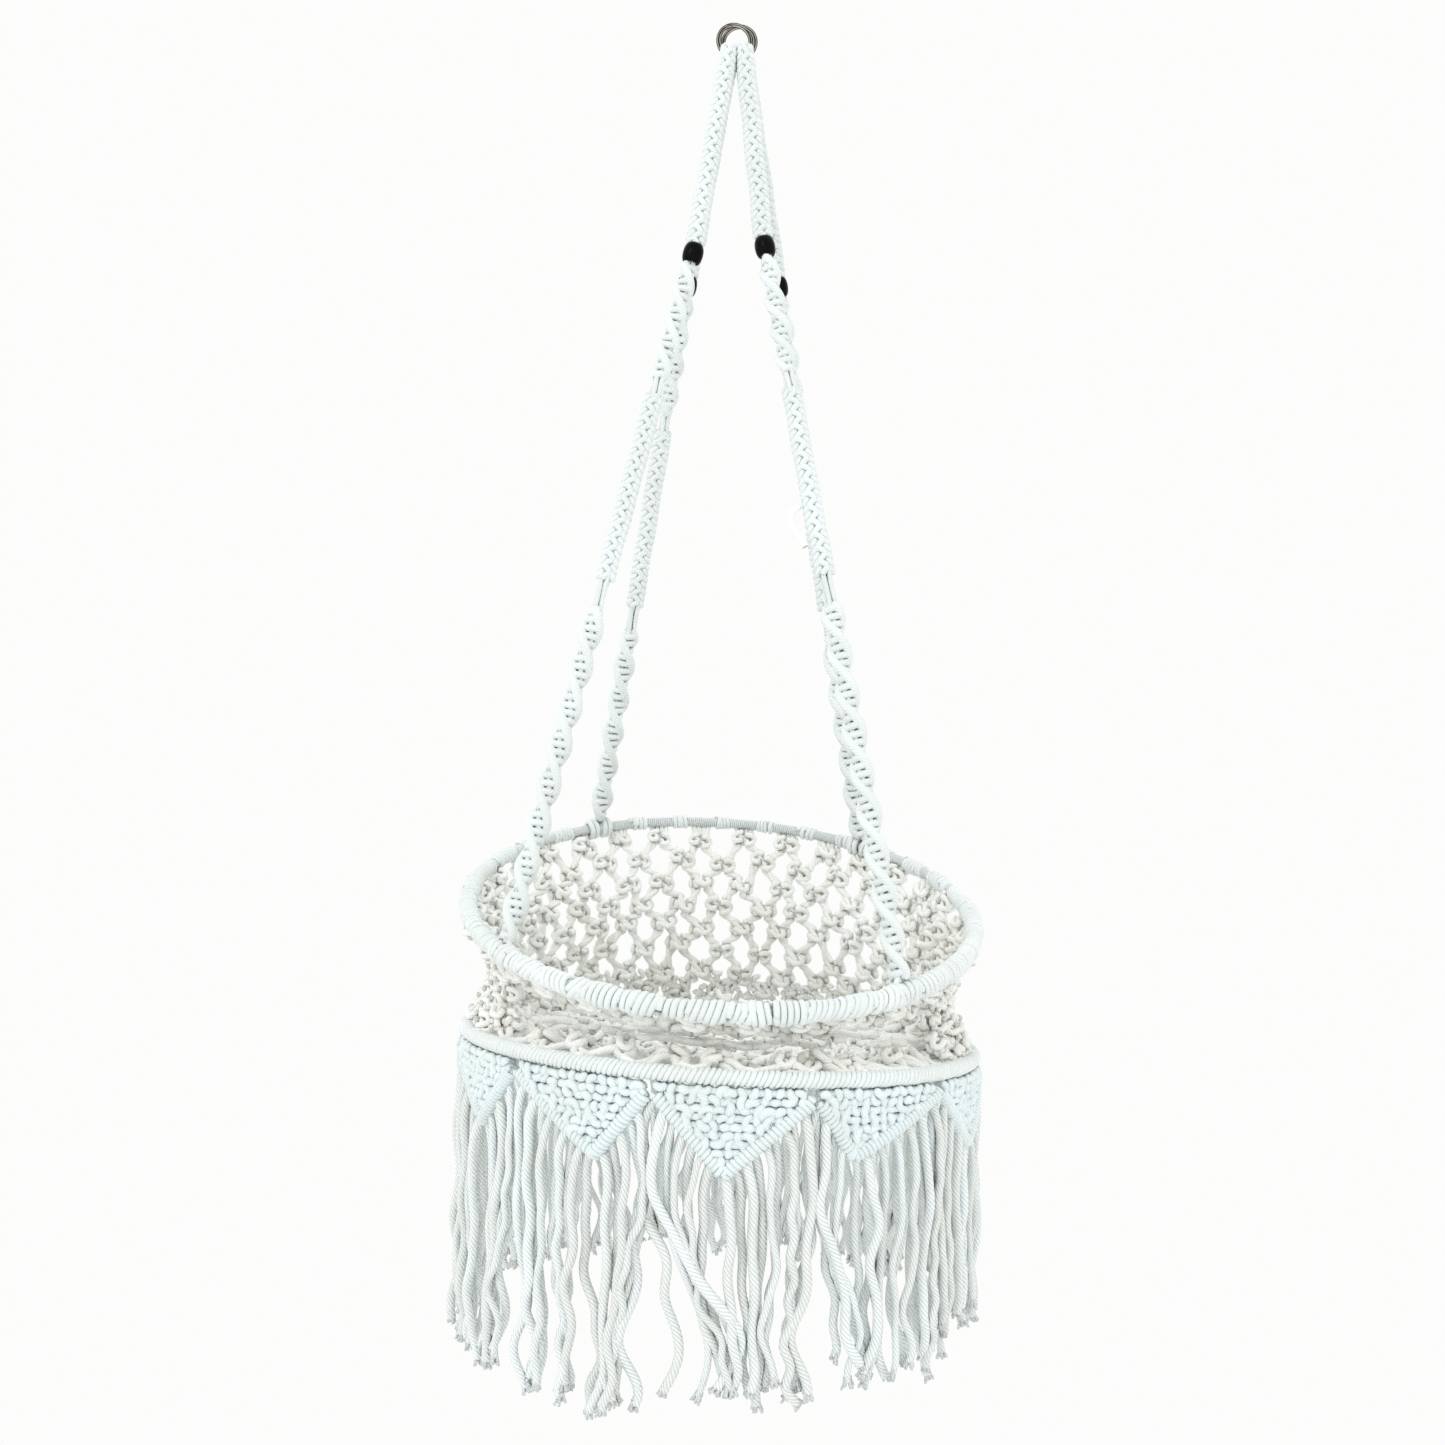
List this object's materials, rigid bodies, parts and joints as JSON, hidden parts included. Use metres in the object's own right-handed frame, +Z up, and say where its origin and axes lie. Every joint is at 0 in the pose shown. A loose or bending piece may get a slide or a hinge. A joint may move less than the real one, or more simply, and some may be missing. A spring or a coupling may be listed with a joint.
{
  "type": "hanging macrame planter",
  "caption": "Round hanging basket of knotted cotton cord: net wall between wrapped hoops, knotted seat, fringed skirt, beaded legs and a ring hanger.",
  "frame": {"origin": "where the hook touches the inside top of the split rings", "axes": "+Z up, +X to the right and +Y to the back, as seen from the low side of the tilted upper hoop"},
  "size_m": [0.3646, 0.3645, 0.9042],
  "materials": {
    "cotton": "matte twisted cotton cord",
    "inner_cotton": "matte twisted cotton cord, warmer in the shade",
    "nickel": "polished nickel, slightly worn",
    "hoop_steel": "drawn wire",
    "black_bead": "gloss black"
  },
  "bodies": {
    "rings": {"split_ring_left": "nickel", "split_ring_right": "nickel"},
    "harness": {"left_rope_loop": "cotton", "right_rope_loop": "cotton", "front_left_upper_spiral": "cotton", "front_left_sennit": "cotton", "front_left_lower_spiral": "cotton", "front_left_hitch": "cotton", "front_right_upper_spiral": "cotton", "front_right_sennit": "cotton", "front_right_lower_spiral": "cotton", "front_right_hitch": "cotton", "back_left_upper_spiral": "cotton", "back_left_sennit": "cotton", "back_left_lower_spiral": "cotton", "back_left_hitch": "cotton", "back_right_upper_spiral": "cotton", "back_right_sennit": "cotton", "back_right_lower_spiral": "cotton", "back_right_hitch": "cotton", "loose_cord_tail": "cotton", "upper_hoop_rod": "hoop_steel", "upper_hoop_wrap": "cotton", "net_wall": "inner_cotton"},
    "front_left_bead": {"front_left_bead": "black_bead"},
    "front_right_bead": {"front_right_bead": "black_bead"},
    "back_left_bead": {"back_left_bead": "black_bead"},
    "back_right_bead": {"back_right_bead": "black_bead"},
    "lower_hoop": {"lower_hoop_rod": "hoop_steel", "lower_hoop_wrap": "cotton", "seat_net": "inner_cotton"},
    "pennant_01": {"pennant_01": "cotton", "fringe_01": "cotton"},
    "pennant_02": {"pennant_02": "cotton", "fringe_02": "cotton"},
    "pennant_03": {"pennant_03": "cotton", "fringe_03": "cotton"},
    "pennant_04": {"pennant_04": "cotton", "fringe_04": "cotton"},
    "pennant_05": {"pennant_05": "cotton", "fringe_05": "cotton"},
    "pennant_06": {"pennant_06": "cotton", "fringe_06": "cotton"},
    "pennant_07": {"pennant_07": "cotton", "fringe_07": "cotton"},
    "pennant_08": {"pennant_08": "cotton", "fringe_08": "cotton"},
    "pennant_09": {"pennant_09": "cotton", "fringe_09": "cotton"},
    "pennant_10": {"pennant_10": "cotton", "fringe_10": "cotton"},
    "pennant_11": {"pennant_11": "cotton", "fringe_11": "cotton"}
  },
  "joints": [
    {"name": "harness_swing", "type": "hinge", "parent": "rings", "child": "harness", "pos_m": [0, 0, -0.021], "axis": [1, 0, 0], "range_deg": [-30, 30]},
    {"name": "front_left_bead_spin", "type": "hinge", "parent": "harness", "child": "front_left_bead", "pos_m": [-0.0276, -0.024, -0.165], "axis": [0.2271, 0.1641, 0.9599], "continuous": true},
    {"name": "front_right_bead_spin", "type": "hinge", "parent": "harness", "child": "front_right_bead", "pos_m": [0.0216, -0.024, -0.1595], "axis": [-0.1792, 0.2014, 0.963], "continuous": true},
    {"name": "back_left_bead_spin", "type": "hinge", "parent": "harness", "child": "back_left_bead", "pos_m": [-0.0325, 0.026, -0.174], "axis": [0.1569, -0.2708, 0.9498], "continuous": true},
    {"name": "back_right_bead_spin", "type": "hinge", "parent": "harness", "child": "back_right_bead", "pos_m": [0.0325, 0.026, -0.174], "axis": [-0.1778, -0.2522, 0.9512], "continuous": true},
    {"name": "basket_fold", "type": "slide", "parent": "harness", "child": "lower_hoop", "axis": [0, 0, 1], "range_m": [0, 0.018], "deforming": ["net_wall"]},
    {"name": "pennant_01_flap", "type": "hinge", "parent": "lower_hoop", "child": "pennant_01", "pos_m": [0.00915, -0.17458, -0.69617], "axis": [-0.9977, -0.0502, 0.046], "range_deg": [0, 70]},
    {"name": "pennant_02_flap", "type": "hinge", "parent": "lower_hoop", "child": "pennant_02", "pos_m": [0.10209, -0.14212, -0.70176], "axis": [-0.811, -0.5816, 0.0629], "range_deg": [0, 70]},
    {"name": "pennant_03_flap", "type": "hinge", "parent": "lower_hoop", "child": "pennant_03", "pos_m": [0.16262, -0.06453, -0.70807], "axis": [-0.3669, -0.9283, 0.0598], "range_deg": [0, 70]},
    {"name": "pennant_04_flap", "type": "hinge", "parent": "lower_hoop", "child": "pennant_04", "pos_m": [0.17152, 0.03355, -0.71308], "axis": [0.1937, -0.9803, 0.0378], "range_deg": [0, 70]},
    {"name": "pennant_05_flap", "type": "hinge", "parent": "lower_hoop", "child": "pennant_05", "pos_m": [0.12596, 0.12097, -0.71521], "axis": [0.6929, -0.7211, 0.0037], "range_deg": [0, 70]},
    {"name": "pennant_06_flap", "type": "hinge", "parent": "lower_hoop", "child": "pennant_06", "pos_m": [0.04041, 0.16999, -0.71378], "axis": [0.972, -0.2329, -0.0315], "range_deg": [0, 70]},
    {"name": "pennant_07_flap", "type": "hinge", "parent": "lower_hoop", "child": "pennant_07", "pos_m": [-0.05797, 0.16504, -0.70925], "axis": [0.9425, 0.3293, -0.0567], "range_deg": [0, 70]},
    {"name": "pennant_08_flap", "type": "hinge", "parent": "lower_hoop", "child": "pennant_08", "pos_m": [-0.13794, 0.10769, -0.70305], "axis": [0.6138, 0.7868, -0.0639], "range_deg": [0, 70]},
    {"name": "pennant_09_flap", "type": "hinge", "parent": "lower_hoop", "child": "pennant_09", "pos_m": [-0.17412, 0.01615, -0.69715], "axis": [0.0902, 0.9946, -0.0508], "range_deg": [0, 70]},
    {"name": "pennant_10_flap", "type": "hinge", "parent": "lower_hoop", "child": "pennant_10", "pos_m": [-0.15501, -0.08052, -0.69343], "axis": [-0.462, 0.8866, -0.0216], "range_deg": [0, 70]},
    {"name": "pennant_11_flap", "type": "hinge", "parent": "lower_hoop", "child": "pennant_11", "pos_m": [-0.08669, -0.15162, -0.69306], "axis": [-0.8676, 0.4971, 0.0145], "range_deg": [0, 70]}
  ]
}
